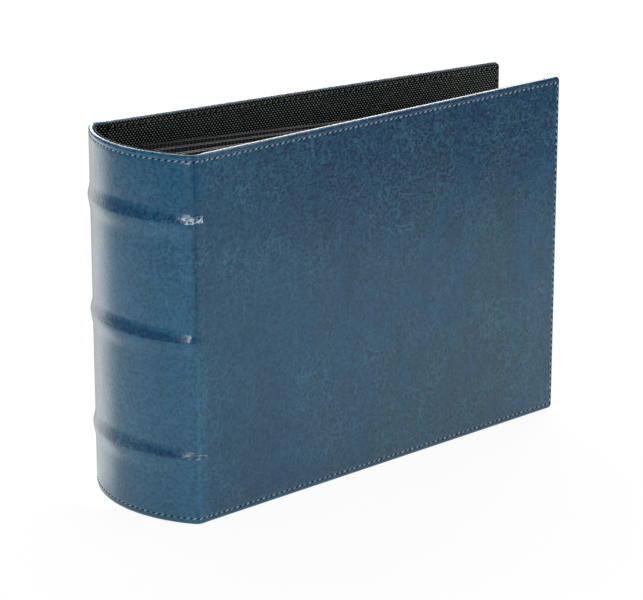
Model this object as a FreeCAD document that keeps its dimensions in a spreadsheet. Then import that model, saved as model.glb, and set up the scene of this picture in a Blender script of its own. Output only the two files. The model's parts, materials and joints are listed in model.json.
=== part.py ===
"""A landscape stamp album: a leather case with a rounded, banded spine and hinged leaves with clear strips.

Millimetres.  X runs from the spine to the fore-edge, Y from the front cover to the rear cover, Z up.
The album stands on its tail edge, and the origin is the middle of its footprint.
"""

import FreeCAD
import Part
import Sketcher

import os

doc = FreeCAD.newDocument("stamp_album")

# Driving dimensions, one cell each
DIMENSIONS = {
    # Case
    "cover_width": 247.0,
    "cover_height": 180.0,
    "cover_corner": 2.5,
    "closing_angle": 4.1,
    "leather": 1.0,
    "board": 2.5,
    "lining": 0.5,
    "joint_width": 7.0,
    "joint_gap": 0.4,
    # Rounded spine
    "spine_width": 85.0,
    "spine_bulge": 15.5,
    "spine_card": 1.5,
    "band_spacing": 57.5,
    "band_half_width": 4.5,
    "band_rise": 1.2,
    "glue_gap": 0.1,
    # Sewing along the edges
    "stitch_inset": 2.65,
    "fore_stitch_inset": 1.5,
    "thread_width": 0.7,
    "thread_depth": 0.35,
    # Binding inside the spine
    "cloth": 0.8,
    "cloth_inset": 5.5,
    "guard_inset": 12.5,
    "guard_width": 3.0,
    "guard_wall": 0.6,
    "guard_front": 20.0,
    "guard_slot": 12.0,
    "guard_thread": 0.6,
    # Leaves
    "leaf_square": 12.0,
    "leaf_fore_square": 16.2,
    "leaf_sheet": 0.6,
    "leaf_gap": 0.8,
    "leaf_sag": 3.5,
    "hem_height": 6.0,
    "hem_thickness": 1.0,
    "leaf_clearance": 0.33,
    "fore_clearance": 6.1,
    "strip_margin": 6.0,
    "strip_gap": 3.5,
    "strip_head_gap": 5.5,
    "strip_film": 0.2,
}
SECTIONS = 6
LEAVES = 2 * SECTIONS
STRIPS_PER_SIDE = 4
BAND_NAMES = {"spine_band_lower": -1, "spine_band_middle": 0, "spine_band_upper": 1}
FRONT, REAR = 1, -1  # which way is inwards along Y, from each cover

sheet = doc.addObject("Spreadsheet::Sheet", "Sizes")
for row, (alias, value) in enumerate(DIMENSIONS.items(), start=1):
    sheet.set(f"A{row}", alias)
    sheet.set(f"B{row}", str(value))
    sheet.setAlias(f"B{row}", alias)
doc.recompute()


def cell(alias):
    """The expression that reads one driving dimension."""
    return f"Sizes.{alias}"


# Sizes that follow from the driving ones
WIDTH = cell("cover_width")
HEIGHT = cell("cover_height")
LEATHER = cell("leather")
TILT = cell("closing_angle")
COVER = f"({LEATHER} + {cell('board')} + {cell('lining')})"
HALF_SPINE = f"({cell('spine_width')} / 2)"
BULGE = cell("spine_bulge")
SPINE_RADIUS = f"(({HALF_SPINE}^2 + {BULGE}^2) / (2 * {BULGE}))"
CARD_RADIUS = f"({SPINE_RADIUS} - {LEATHER})"
LINING_RADIUS = f"({CARD_RADIUS} - {cell('spine_card')})"
CLOTH_RADIUS = f"({LINING_RADIUS} - {cell('lining')})"
GUARD_RADIUS = f"({CLOTH_RADIUS} - {cell('cloth')})"
NEEDLE_RADII = (SPINE_RADIUS, f"({SPINE_RADIUS} - {cell('thread_depth')})")
BOBBIN_RADII = (f"({CLOTH_RADIUS} + {cell('thread_depth')})", CLOTH_RADIUS)
BAND_TUBE = f"(({cell('band_half_width')}^2 + {cell('band_rise')}^2) / (2 * {cell('band_rise')}))"
BAND_RING = f"({SPINE_RADIUS} + {cell('band_rise')} - {BAND_TUBE})"
# The joints stand this far from the middle of the whole length, on the spine's side
FORE_REACH = f"({WIDTH} * cos({TILT}))"
SPINE_REACH = f"({BULGE} + {cell('band_rise')})"
JOINT_X = f"(({SPINE_REACH} - {FORE_REACH}) / 2)"
ARC_X = f"({JOINT_X} - {BULGE} + {SPINE_RADIUS})"


def bind(item, **expressions):
    """Binds properties of an object to expressions; a double underscore stands for a dot."""
    for path, expression in expressions.items():
        item.setExpression(path.replace("__", "."), str(expression))
    return item


def place(item, x="0", y="0", z="0", turn=None):
    """Binds an object's place, and its turn about Z in degrees."""
    bind(item, Placement__Base__x=x, Placement__Base__y=y, Placement__Base__z=z)
    if turn is not None:
        item.Placement.Rotation = FreeCAD.Rotation(FreeCAD.Vector(0, 0, 1), 1)
        bind(item, Placement__Rotation__Angle=turn)
    return item


def box(name, length, width, height, x="0", y="0", z="0"):
    """A block with its corner at x, y, z."""
    item = doc.addObject("Part::Box", name)
    bind(item, Length=length, Width=width, Height=height)
    return place(item, x, y, z)


def cylinder(name, radius, height, x="0", y="0", z="0"):
    """An upright cylinder."""
    item = doc.addObject("Part::Cylinder", name)
    bind(item, Radius=radius, Height=height)
    return place(item, x, y, z)


def cut(name, base, tool):
    """Base without tool."""
    item = doc.addObject("Part::Cut", name)
    item.Base, item.Tool = base, tool
    return item


def common(name, base, tool):
    """What base and tool share."""
    item = doc.addObject("Part::Common", name)
    item.Base, item.Tool = base, tool
    return item


def fuse(name, shapes):
    """All the shapes as one."""
    item = doc.addObject("Part::MultiFuse", name)
    item.Shapes = shapes
    return item


def group(name, shapes):
    """Separate solids kept together as one piece of the record."""
    item = doc.addObject("Part::Compound", name)
    item.Links = shapes
    return item


sub_parts = []


def finished(item, label):
    """Names a sub-part and keeps it for export."""
    item.Label = label
    sub_parts.append(item)
    return item


# Covers: each is drawn flat along X from its joint, then turned inwards about the joint's outer edge


def at_joint(item, inwards):
    """Sets a cover piece at its joint, closed in towards the fore-edge."""
    return place(item, JOINT_X, f"{-inwards} * {HALF_SPINE}", "0", f"{inwards} * {TILT}")


def slab(name, inwards, start, end, up, depth):
    """A block from start to end along the cover, from bottom to top and between two depths."""
    low, high = depth
    y = f"({low})" if inwards == FRONT else f"-({high})"
    bottom, top = up
    return box(
        name,
        f"({end}) - ({start})",
        f"({high}) - ({low})",
        f"({top}) - ({bottom})",
        x=start,
        y=y,
        z=bottom,
    )


def rounded_block(name, inwards):
    """The whole thickness of a cover, with its two fore-edge corners rounded."""
    body = doc.addObject("PartDesign::Body", name)
    block = body.newObject("PartDesign::AdditiveBox", f"{name}_block")
    start = cell("joint_width")
    bind(block, Length=f"{WIDTH} - {start}", Width=COVER, Height=HEIGHT)
    place(block, start, "0" if inwards == FRONT else f"-{COVER}")
    doc.recompute()
    corners = []
    far = block.Shape.BoundBox.XMax
    for number, edge in enumerate(block.Shape.Edges, start=1):
        box_of_edge = edge.BoundBox
        runs_across = box_of_edge.XLength < 1e-6 and box_of_edge.ZLength < 1e-6
        if runs_across and abs(box_of_edge.XMax - far) < 1e-6:
            corners.append(f"Edge{number}")
    fillet = body.newObject("PartDesign::Fillet", f"{name}_corners")
    fillet.Base = (block, corners)
    bind(fillet, Radius=cell("cover_corner"))
    return body


def stitching(name, inwards, depth):
    """One sewing thread along the head, the fore-edge and the tail."""
    inset, thread = cell("stitch_inset"), cell("thread_width")
    start = f"({cell('joint_width')} + {inset})"
    far = f"({WIDTH} - {cell('fore_stitch_inset')})"
    outer = slab(f"{name}_run", inwards, start, far, (inset, f"{HEIGHT} - {inset}"), depth)
    hollow_up = (f"{inset} + {thread}", f"{HEIGHT} - {inset} - {thread}")
    hollow = slab(f"{name}_field", inwards, start, f"{far} - {thread}", hollow_up, depth)
    return cut(name, outer, hollow)


def cover(side, inwards):
    """Leather tray, board, lining and the two sewing threads of one cover."""
    start = cell("joint_width")
    inside = (LEATHER, f"{HEIGHT} - {LEATHER}")
    far = f"({WIDTH} - {LEATHER})"
    board_depth = (LEATHER, f"{LEATHER} + {cell('board')}")
    lining_depth = (f"{LEATHER} + {cell('board')}", COVER)

    rounded = rounded_block(f"{side}_rounded", inwards)
    hollow = slab(f"{side}_hollow", inwards, f"{start} + {LEATHER}", far, inside, (LEATHER, COVER))
    needle_depth = ("0", cell("thread_depth"))
    bobbin_depth = (f"{COVER} - {cell('thread_depth')}", COVER)
    tray = cut(f"{side}_tray", rounded, hollow)
    back = slab(f"{side}_cloth", inwards, f"{start} + {LEATHER}", far, inside, lining_depth)
    card = slab(f"{side}_card", inwards, f"{start} + {LEATHER}", far, inside, board_depth)
    pieces = {
        "leather": cut(f"{side}_leather", tray, stitching(f"{side}_needle_groove", inwards, needle_depth)),
        "board": group(f"{side}_board", [card]),
        "lining": cut(f"{side}_lining", back, stitching(f"{side}_bobbin_groove", inwards, bobbin_depth)),
        "needle_thread": stitching(f"{side}_needle", inwards, needle_depth),
        "bobbin_thread": stitching(f"{side}_bobbin", inwards, bobbin_depth),
    }
    for name, piece in pieces.items():
        finished(at_joint(piece, inwards), f"{side}_{name}")


def joint(side, inwards):
    """The bare leather and lining that bend between the spine and one cover."""
    gap = cell("joint_gap")
    span = (gap, f"{cell('joint_width')} - {gap}")
    up = (gap, f"{HEIGHT} - {gap}")
    skin = slab(f"{side}_joint_skin", inwards, *span, up, ("0", LEATHER))
    back = slab(f"{side}_joint_back", inwards, *span, up, (LEATHER, f"{LEATHER} + {cell('lining')}"))
    finished(at_joint(group(f"{side}_joint_leather", [skin]), inwards), f"{side}_joint_leather")
    finished(at_joint(group(f"{side}_joint_lining", [back]), inwards), f"{side}_joint_lining")


# Spine: shells round one upright axis, all trimmed to the same opening between the joints


def opening(name, width=cell("spine_width"), bottom="0", top=HEIGHT):
    """The block that keeps a shell between the joints."""
    depth = f"({SPINE_REACH} + {cell('joint_width')})"
    return box(
        name,
        f"{depth} - {cell('joint_gap')}",
        width,
        f"({top}) - ({bottom})",
        x=f"{JOINT_X} - {depth}",
        y=f"-({width}) / 2",
        z=bottom,
    )


def shell(label, outer, inner, **limits):
    """A curved sheet between two radii."""
    outside = cylinder(f"{label}_outside", outer, HEIGHT, x=ARC_X)
    inside = cylinder(f"{label}_inside", inner, HEIGHT, x=ARC_X)
    return common(label, cut(f"{label}_tube", outside, inside), opening(f"{label}_span", **limits))


def band_ring(name, step, tube):
    """The ring that a raised band is part of, at its height on the spine."""
    ring = doc.addObject("Part::Torus", name)
    bind(ring, Radius1=BAND_RING, Radius2=tube)
    return place(ring, ARC_X, "0", f"{HEIGHT} / 2 + {step} * {cell('band_spacing')}")


def spine_leather():
    """The outer skin, which swells over the three bands."""
    outside = [cylinder("spine_skin_outside", SPINE_RADIUS, HEIGHT, x=ARC_X)]
    inside = [cylinder("spine_skin_inside", CARD_RADIUS, HEIGHT, x=ARC_X)]
    for name, step in BAND_NAMES.items():
        outside.append(band_ring(f"{name}_skin", step, BAND_TUBE))
        inside.append(band_ring(f"{name}_bed", step, f"{BAND_TUBE} - {LEATHER}"))
    tube = cut("spine_skin_tube", fuse("spine_swell", outside), fuse("spine_hollow", inside))
    skin = common("spine_skin", tube, opening("spine_skin_span"))
    finished(cut("spine_leather", skin, seams("spine_needle_groove", *NEEDLE_RADII)), "spine_leather")


def spine_lining():
    """The black cloth inside the spine."""
    back = shell("spine_back", LINING_RADIUS, CLOTH_RADIUS)
    finished(cut("spine_lining", back, seams("spine_bobbin_groove", *BOBBIN_RADII)), "spine_lining")


def spine_band(label, step):
    """One half-round cord, glued to the card under the leather."""
    tube = f"{BAND_TUBE} - {LEATHER} - {cell('glue_gap')}"
    core = cylinder(f"{label}_core", f"{CARD_RADIUS} + {cell('glue_gap')}", HEIGHT, x=ARC_X)
    cord = cut(f"{label}_cord", band_ring(f"{label}_ring", step, tube), core)
    finished(common(label, cord, opening(f"{label}_span")), label)


def seams(name, outer, inner):
    """The sewing along the head and the tail of the spine."""
    inset, thread = cell("stitch_inset"), cell("thread_width")
    tail = shell(f"{name}_tail", outer, inner, bottom=inset, top=f"{inset} + {thread}")
    head_top = f"{HEIGHT} - {inset}"
    head = shell(f"{name}_head", outer, inner, bottom=f"{head_top} - {thread}", top=head_top)
    return group(name, [tail, head])


# Binding: folded cloth guards stand on a cloth glued inside the spine

LEAF_BOTTOM = cell("leaf_square")
LEAF_TOP = f"({HEIGHT} - {cell('leaf_square')})"
LEAF_HEIGHT = f"({LEAF_TOP} - {LEAF_BOTTOM})"
LEAF_START = f"({cell('guard_front')} + {cell('leaf_gap')})"
LEAF_LENGTH = f"({WIDTH} - {LEAF_START} - {cell('leaf_fore_square')})"
FRONT_INSIDE = f"({COVER} / cos({TILT}) + ({LEAF_START} + {LEAF_LENGTH}) * tan({TILT}) - {HALF_SPINE})"
FORE_PITCH = f"({cell('hem_thickness')} + {cell('leaf_clearance')})"
GUARD_PITCH = f"(({cell('spine_width')} - 2 * {cell('guard_inset')}) / {SECTIONS - 1})"
STRIP_GAPS = f"({STRIPS_PER_SIDE - 1} * {cell('strip_gap')})"
STRIP_ROOM = f"({LEAF_HEIGHT} - {cell('hem_height')} - {cell('strip_margin')} - {cell('strip_head_gap')})"
STRIP_HEIGHT = f"(({STRIP_ROOM} - {STRIP_GAPS}) / {STRIPS_PER_SIDE})"
STRIP_PITCH = f"({STRIP_HEIGHT} + {cell('strip_gap')})"
GUARD_X = f"({JOINT_X} + {cell('guard_front')})"
SLOT_X = f"({GUARD_X} - {cell('guard_slot')})"


def guard_y(section):
    """Where a section's guard stands across the spine."""
    return f"({section - (SECTIONS - 1) / 2} * {GUARD_PITCH})"


def guard(section):
    """One folded guard: a web on the binding cloth and two round-ended wings that carry the leaves."""
    label = f"guard_{section + 1}"
    width, wall = cell("guard_width"), cell("guard_wall")
    reach = f"({SPINE_REACH} + {cell('guard_front')})"
    middle = guard_y(section)
    size = (reach, width, LEAF_HEIGHT)
    strip = box(f"{label}_strip", *size, x=f"{GUARD_X} - {reach}", y=f"{middle} - {width} / 2", z=LEAF_BOTTOM)
    slot_size = (cell("guard_slot"), f"{width} - 2 * {wall}", LEAF_HEIGHT)
    slot = box(f"{label}_slot", *slot_size, x=SLOT_X, y=f"{middle} - {width} / 2 + {wall}", z=LEAF_BOTTOM)
    seat = cylinder(f"{label}_seat", GUARD_RADIUS, HEIGHT, x=ARC_X)
    fold = common(f"{label}_fold", cut(f"{label}_strip_slotted", strip, slot), seat)
    tips = [
        cylinder(f"{label}_tip_{side}", f"{wall} / 2", LEAF_HEIGHT, x=GUARD_X, y=y, z=LEAF_BOTTOM)
        for side, y in (("front", leaf_y(2 * section)), ("rear", leaf_y(2 * section + 1)))
    ]
    finished(fuse(label, [fold, *tips]), label)


def guard_threads():
    """The thread sewn down the fold of each guard."""
    radius = f"{cell('guard_thread')} / 2"
    threads = [
        cylinder(
            f"guard_thread_{section + 1}",
            radius,
            f"{LEAF_HEIGHT} - 2 * {cell('hem_height')}",
            x=f"{SLOT_X} + {radius}",
            y=guard_y(section),
            z=f"{LEAF_BOTTOM} + {cell('hem_height')}",
        )
        for section in range(SECTIONS)
    ]
    finished(group("guard_threads", threads), "guard_threads")


# Leaves: drawn along X from their hinge line, then turned to meet the others near the fore-edge


def leaf_y(leaf):
    """Where a leaf's hinge line stands across the spine."""
    section, wing = divmod(leaf, 2)
    offset = f"({cell('guard_width')} - {cell('guard_wall')}) / 2"
    return f"({guard_y(section)} + {2 * wing - 1} * {offset})"


def leaf_turn(leaf):
    """The angle that brings a leaf to its place in the gathered fore-edge."""
    fore = f"({FRONT_INSIDE} + {cell('fore_clearance')} + {leaf} * {FORE_PITCH})"
    return f"atan(({fore} - {leaf_y(leaf)}) / {LEAF_LENGTH})"


def at_hinge(item, leaf):
    """Sets a leaf piece at its hinge line."""
    return place(item, GUARD_X, leaf_y(leaf), "0", leaf_turn(leaf))


def sagging_plate(name, low, high, start, end, thickness, middle="0"):
    """A plate between two heights whose far end has sunk with the leaf's sag, centred on a depth."""
    body = doc.addObject("PartDesign::Body", name)
    sketch = body.newObject("Sketcher::SketchObject", f"{name}_outline")
    plane = next(item for item in body.Origin.OriginFeatures if item.Role == "XZ_Plane")
    sketch.AttachmentSupport = (plane, "")
    sketch.MapMode = "FlatFace"
    corners = [(0, 0), (1, 0), (1, 1), (0, 1)]
    for number, (x, z) in enumerate(corners):
        next_x, next_z = corners[(number + 1) % 4]
        sketch.addGeometry(Part.LineSegment(FreeCAD.Vector(x, z, 0), FreeCAD.Vector(next_x, next_z, 0)))
    slope = f"{cell('leaf_sag')} / {LEAF_LENGTH}"
    for number, (far, height) in enumerate([(start, low), (end, low), (end, high), (start, high)]):
        sunk = f"({height}) - ({far}) * {slope}"
        for kind, expression in (("DistanceX", far), ("DistanceY", sunk)):
            index = sketch.addConstraint(Sketcher.Constraint(kind, -1, 1, number, 1, 1.0))
            sketch.renameConstraint(index, f"{kind}_{number}")
            sketch.setExpression(f"Constraints.{kind}_{number}", expression)
    for number in range(4):
        sketch.addConstraint(Sketcher.Constraint("Coincident", number, 2, (number + 1) % 4, 1))
    pad = body.newObject("PartDesign::Pad", f"{name}_pad")
    pad.Profile = sketch
    pad.Midplane = True
    bind(pad, Length=thickness)
    bind(body, Placement__Base__y=middle)
    return body


def leaf(number):
    """One black leaf with its folded hem, and the clear strips on both its faces."""
    label = f"leaf_{number + 1:02d}"
    start = cell("leaf_gap")
    end = f"{start} + {LEAF_LENGTH}"
    hem_low = f"{LEAF_TOP} - {cell('hem_height')}"
    page = sagging_plate(f"{label}_page", LEAF_BOTTOM, LEAF_TOP, start, end, cell("leaf_sheet"))
    hem = sagging_plate(f"{label}_hem", hem_low, LEAF_TOP, start, end, cell("hem_thickness"))
    finished(at_hinge(fuse(label, [page, hem]), number), label)

    films = []
    margin, film = cell("strip_margin"), cell("strip_film")
    for side in (-1, 1):
        depth = f"{side} * ({cell('leaf_sheet')} + {film}) / 2"
        for row in range(STRIPS_PER_SIDE):
            low = f"{LEAF_BOTTOM} + {margin} + {row} * {STRIP_PITCH}"
            span = (f"{start} + {margin}", f"{end} - {margin}")
            name = f"{label}_film_{row + 1}_{'front' if side < 0 else 'rear'}"
            films.append(sagging_plate(name, low, f"{low} + {STRIP_HEIGHT}", *span, film, depth))
    finished(at_hinge(group(f"{label}_strips", films), number), f"{label}_strips")


def build():
    """Makes every sub-part."""
    for side, inwards in (("front", FRONT), ("rear", REAR)):
        cover(side, inwards)
        joint(side, inwards)
    spine_leather()
    finished(shell("spine_card", CARD_RADIUS, LINING_RADIUS), "spine_card")
    spine_lining()
    for label, step in BAND_NAMES.items():
        spine_band(label, step)
    finished(seams("spine_needle_thread", *NEEDLE_RADII), "spine_needle_thread")
    finished(seams("spine_bobbin_thread", *BOBBIN_RADII), "spine_bobbin_thread")
    cloth_width = f"({cell('spine_width')} - 2 * {cell('cloth_inset')})"
    cloth_limits = {"width": cloth_width, "bottom": LEAF_BOTTOM, "top": LEAF_TOP}
    finished(shell("binding_cloth", CLOTH_RADIUS, GUARD_RADIUS, **cloth_limits), "binding_cloth")
    for section in range(SECTIONS):
        guard(section)
    guard_threads()
    for number in range(LEAVES):
        leaf(number)
    doc.recompute()


def check():
    """Stops if any object failed or any sub-part has no valid solid."""
    for item in doc.Objects:
        if "Invalid" in item.State or "Error" in item.State:
            raise RuntimeError(f"{item.Label} did not compute: {item.State}")
    for item in sub_parts:
        if item.Shape.isNull() or not item.Shape.isValid() or not item.Shape.Solids:
            raise RuntimeError(f"{item.Label} has no valid solid")


def export():
    """Writes one STEP file for each sub-part."""
    os.makedirs("parts", exist_ok=True)
    for item in sub_parts:
        item.Shape.exportStep(os.path.join("parts", f"{item.Label}.step"))


build()
check()
export()
print(f"{len(sub_parts)} sub-parts")
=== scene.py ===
"""A stamp album in blue pull-up leather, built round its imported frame.

Metres throughout.  The plan of the case is one line: up one cover, over its joint, round the spine and down the
other cover.  The hide is a rounded section carried along that line.
"""

import functools
import json
import math

import bpy
import numpy as np
from mathutils import Euler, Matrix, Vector


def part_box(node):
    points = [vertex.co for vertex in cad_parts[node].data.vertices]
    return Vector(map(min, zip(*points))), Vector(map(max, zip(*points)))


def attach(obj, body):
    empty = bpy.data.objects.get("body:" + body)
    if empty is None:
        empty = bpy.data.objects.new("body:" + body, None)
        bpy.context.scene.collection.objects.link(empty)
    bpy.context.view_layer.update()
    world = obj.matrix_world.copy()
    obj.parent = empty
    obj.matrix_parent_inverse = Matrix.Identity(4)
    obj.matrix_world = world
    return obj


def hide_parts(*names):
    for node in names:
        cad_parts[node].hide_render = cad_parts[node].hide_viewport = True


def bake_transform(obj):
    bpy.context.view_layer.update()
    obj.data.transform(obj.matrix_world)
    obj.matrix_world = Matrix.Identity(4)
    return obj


bl_info = {
    "name": "Stamp Album",
    "version": (1, 0, 0),
    "blender": (4, 5, 0),
    "location": "View3D > Sidebar > Album",
    "description": "Dresses the packed stamp album in leather, cloth, thread and film",
    "category": "Object",
}

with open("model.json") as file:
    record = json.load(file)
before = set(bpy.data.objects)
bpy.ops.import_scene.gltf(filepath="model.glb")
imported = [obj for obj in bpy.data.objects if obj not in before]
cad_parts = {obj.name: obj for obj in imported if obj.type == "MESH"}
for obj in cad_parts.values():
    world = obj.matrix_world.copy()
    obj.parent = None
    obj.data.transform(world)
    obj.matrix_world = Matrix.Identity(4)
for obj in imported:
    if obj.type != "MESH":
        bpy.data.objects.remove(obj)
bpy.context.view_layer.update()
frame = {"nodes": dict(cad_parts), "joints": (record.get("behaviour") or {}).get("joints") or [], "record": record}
MM = 0.001

# Sizes read from the frame
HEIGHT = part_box("front_leather")[1].z
HALF_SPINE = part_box("spine_leather")[1].y
REAR_FACE = next(mount for mount in frame["record"]["mounts"] if mount["name"] == "rear_face")
TILT = math.asin(REAR_FACE["axis"][0])
HINGE = {joint["name"]: Vector(joint["pos_m"]) for joint in frame["joints"]}
SIDES = {"front": 1, "rear": -1}  # which way is inwards along Y, from each cover

# Sizes that the case was drawn with
JOINT_WIDTH = 7 * MM
COVER_DEPTH = 4 * MM
LINING = 0.5 * MM
COVER_HIDE = COVER_DEPTH - LINING  # a cover's hide with the board in it
SPINE_DEPTH = 2.5 * MM
SPINE_BULGE = 15.5 * MM
BAND_SPACING = 57.5 * MM
BAND_HALF_WIDTH = 4.5 * MM
BAND_RISE = 1.2 * MM
STITCH_ROW = 3.0 * MM
FORE_STITCH_ROW = 1.85 * MM
LEAF_HEAD = 12 * MM  # from the head of the covers down to the head of the leaves
HEM_HEIGHT = 6 * MM

# How the linings lie
COVER_LINING_EDGE = 0.5 * MM  # what a cover's lining leaves at its edges
JOINT_LINING_EDGE = 1.0 * MM  # what a joint's lining leaves at head and tail
JOINT_LINING_LAP = 1.2 * MM  # how far a joint's lining goes on under the cover's
LINING_ON_ARC = 4  # stations of the spine's arc that a joint's lining starts on

# How the hide lies over the bands and in the corners
SLOPE_AT_JOINT, SLOPE_AT_MIDDLE = 0.95, 1.65  # length of a band's upper slope, in half widths
SLOPE_STRAIGHT, SLOPE_SOFT = 0.7, 0.3  # shares of the plain ramp and of the eased one in that slope
RISE_AT_JOINT, RISE_TO_MIDDLE = 0.8, 0.35  # share of the cord's rise at a joint, and what the middle adds
BAND_ON_JOINT = 0.45  # share of the upper band that runs on over the joint
BAND_FADE = 2.2  # length in which a band comes up from the end of the spine's hide, in corner roundings
BAND_FADE_ON_JOINT = 3.7 * MM  # length in which the upper band goes down on the joint
CREASE_DEPTH, CREASE_WIDTH = 0.3 * MM, 0.6 * MM
CREASE_PLACE = 0.9  # how far the crease lies from the end of the spine's hide, in corner roundings
CREASE_AT_TAIL = 0.15  # share of the crease's depth that is left near the tail
CREASE_LOW, CREASE_HIGH = 0.35, 0.65  # heights between which the crease deepens, as shares of the album's

# How the sewing lies
SEAM_WIDTH = 0.9 * MM
SEAM_REACH = 2.2 * MM  # how far from a seam the mesh stays fine
THREAD_LIFT = 0.02 * MM  # how far the middle of a stitch or a needle hole stands off the face
NEEDLE_HOLE = (1.3 * MM, 1.0 * MM, 0.25 * MM)  # length, width and height
STITCH_SLANT = math.radians(24)

# How finely the lines are divided
ARC_STATIONS, CORNER_STATIONS = 120, 14
COVER_STATIONS, FORE_EDGE_STATIONS, SEAM_STATIONS = 60, 12, 19
JOINT_STATIONS, JOINT_LINING_STATIONS, COVER_LINING_STATIONS = 32, 24, 40
INNER_ROWS = 12
CORNER_TURN = np.linspace(0, math.pi / 2, 9)[1:]  # steps round a quarter circle
SHARP_EDGE = math.radians(40)

JOINT_X = HINGE["front_cover_hinge"].x - JOINT_WIDTH / 2 * math.cos(TILT)
COVER_WIDTH = (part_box("front_leather")[1].x - JOINT_X) / math.cos(TILT)
SPINE_RADIUS = (HALF_SPINE**2 + SPINE_BULGE**2) / (2 * SPINE_BULGE)
ARC_X = JOINT_X - SPINE_BULGE + SPINE_RADIUS
ARC_HALF = math.asin(HALF_SPINE / SPINE_RADIUS)
BAND_HEIGHTS = HEIGHT / 2 + BAND_SPACING * np.array([-1, 0, 1])


def linear(hex_colour):
    """The linear colour of an sRGB hex value."""
    channels = [int(hex_colour[i : i + 2], 16) / 255 for i in (1, 3, 5)]
    return tuple(c / 12.92 if c <= 0.04045 else ((c + 0.055) / 1.055) ** 2.4 for c in channels)


def length(name, description, default):
    """A length property in metres."""
    return bpy.props.FloatProperty(
        name=name, description=description, default=default, min=0, precision=5, unit="LENGTH", subtype="DISTANCE"
    )


def colour(name, description, hex_colour):
    """A colour property whose default is an sRGB hex value."""
    return bpy.props.FloatVectorProperty(
        name=name, description=description, default=linear(hex_colour), size=3, min=0, max=1, subtype="COLOR"
    )


class AlbumSizes(bpy.types.PropertyGroup):
    """Sizes of the album's finish that a user would change."""

    edge_roll: length("Edge roll", "Radius of the hide where it turns over an edge", 1.6 * MM)
    corner: length("Corner", "Radius of the covers' fore-edge corners", 2.5 * MM)
    joint_round: length("Joint rounding", "How far the rounding reaches each side of a spine corner", 3.2 * MM)
    stitch_pitch: length("Stitch pitch", "Distance between needle holes", 3.4 * MM)
    stitch_length: length("Stitch length", "Length of one stitch", 2.1 * MM)
    thread: length("Thread", "Width of the sewing thread", 0.75 * MM)
    seam_dent: length("Seam dent", "How deep the sewing pulls the hide in", 0.22 * MM)
    dot_pitch: length("Dot pitch", "Distance between the lining's dots along a row", 1.75 * MM)
    rib_pitch: length("Rib pitch", "Distance between the ribs of a leaf's hem", 2.0 * MM)


class AlbumColours(bpy.types.PropertyGroup):
    """Colours of the album's finishes."""

    leather: colour("Leather", "Main blue of the hide", "#134b6c")
    leather_spine: colour("Spine leather", "Brighter blue of the spine", "#215f82")
    leather_worn: colour("Worn leather", "Greyer blue where the hide has been handled", "#1f4455")
    leather_deep: colour("Deep leather", "Navy that is left in pits and near the head", "#092b4b")
    # Painted shade: the strips above the bands and the corner crease take this colour, and the joints some of it
    leather_fold_and_shade: colour("Folded leather", "Full blue above each band and in the corner crease", "#06345a")
    # Also the colour of the painted highlight on the corner's crest below half height
    leather_crease: colour("Creases", "Paler blue where the hide has been pulled", "#3a7694")
    # Painted highlight: the glints at the ends of the upper and the lower band take this colour
    leather_glint: colour("Band end glint", "Pale blue painted as a glint at a band's end", "#b9cfdb")
    thread: colour("Thread", "Sewing thread", "#86a9c2")
    needle_hole: colour("Needle hole", "Shade inside a needle hole", "#0b1c30")
    lining: colour("Lining", "Ground of the lining cloth", "#040606")
    lining_dot: colour("Lining dot", "Raised dots of the lining cloth", "#99a89e")
    leaf: colour("Leaf", "Black leaf", "#111313")
    # Painted highlight: the ribs of a leaf's hem take this colour
    leaf_rib_highlight: colour("Leaf rib", "Raised ribs of a leaf's hem", "#4a4c4a")
    board: colour("Board", "Grey board inside the case", "#8d8578")


def sizes():
    """The sizes kept on the scene."""
    return bpy.context.scene.album_sizes


def colours():
    """The colours kept on the scene."""
    return bpy.context.scene.album_colours


# Plan of the case


def cover_plan(inwards, along, depth):
    """Plan points at a distance along a cover from its spine corner and a depth in from its outer face."""
    along, depth = np.broadcast_arrays(along, depth)
    x = JOINT_X + along * math.cos(TILT) - depth * math.sin(TILT)
    y = inwards * (-HALF_SPINE + along * math.sin(TILT) + depth * math.cos(TILT))
    return np.stack([x, y], -1)


def cover_inwards(inwards):
    """The unit direction in through a cover, in plan."""
    return cover_plan(inwards, 0.0, 1.0) - cover_plan(inwards, 0.0, 0.0)


def cover_line(inwards, along):
    """Plan points on a cover's outer face at distances from its spine corner, and the inward normals there."""
    line = cover_plan(inwards, along, 0.0)
    return line, np.broadcast_to(cover_inwards(inwards), line.shape)


def joint_depth(share):
    """The hide's thickness across a joint, from the spine's at share 0 to a cover's at 1."""
    return SPINE_DEPTH + (COVER_HIDE - SPINE_DEPTH) * share


def arc_plan(angle):
    """Plan points on the outside of the spine at angles from its middle, the front being negative."""
    return np.stack([ARC_X - SPINE_RADIUS * np.cos(angle), SPINE_RADIUS * np.sin(angle)], -1)


def spine_line():
    """The spine's outside in plan: a corner curve, the arc and a corner curve, from the front to the rear.

    Each corner is the quadratic curve (1-t)^2 A + 2t(1-t) C + t^2 B from the joint's face A to the arc B,
    pulled towards the sharp corner C.
    """
    reach = sizes().joint_round
    trim = ARC_HALF - reach / SPINE_RADIUS
    t = np.linspace(0, 1, CORNER_STATIONS)[:, None]
    sharp = cover_plan(1, 0.0, 0.0)
    on_joint = cover_plan(1, reach, 0.0)
    on_arc = arc_plan(np.array(-trim))
    front = (1 - t) ** 2 * on_joint + 2 * t * (1 - t) * sharp + t**2 * on_arc
    rear = front[::-1] * [1, -1]
    arc = arc_plan(np.linspace(-trim, trim, ARC_STATIONS)[1:-1])
    return np.concatenate([front, arc, rear])


def inward_normals(line):
    """Unit normals of a plan line, to the left of the way it runs."""
    tangent = np.gradient(line, axis=0)
    tangent /= np.linalg.norm(tangent, axis=1, keepdims=True)
    return np.stack([-tangent[:, 1], tangent[:, 0]], -1)


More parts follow.
